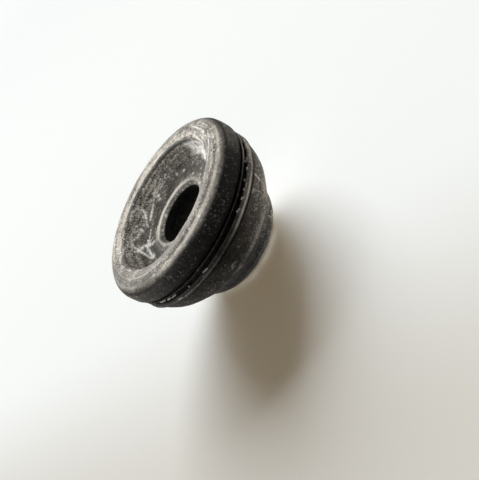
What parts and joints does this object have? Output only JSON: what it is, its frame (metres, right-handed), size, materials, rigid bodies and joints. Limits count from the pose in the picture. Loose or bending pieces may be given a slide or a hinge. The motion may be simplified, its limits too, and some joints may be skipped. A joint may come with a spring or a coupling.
{
  "type": "shock absorber bushing",
  "caption": "One-piece black rubber stem bushing: dished face with a lipped bore, rounded bead, parting groove with flash ridges, domed body and round nose.",
  "frame": {"origin": "centre of the nose's flat end face, on the bore's axis", "axes": "+Z along the bore's axis from the nose to the dish, upwards as the bushing stands on its nose; X and Y are equal, because the body is round"},
  "size_m": [0.038, 0.038, 0.0208],
  "materials": {
    "rubber": "matte, dusty and scuffed"
  },
  "bodies": {
    "root": {"bushing": "rubber"}
  },
  "joints": []
}
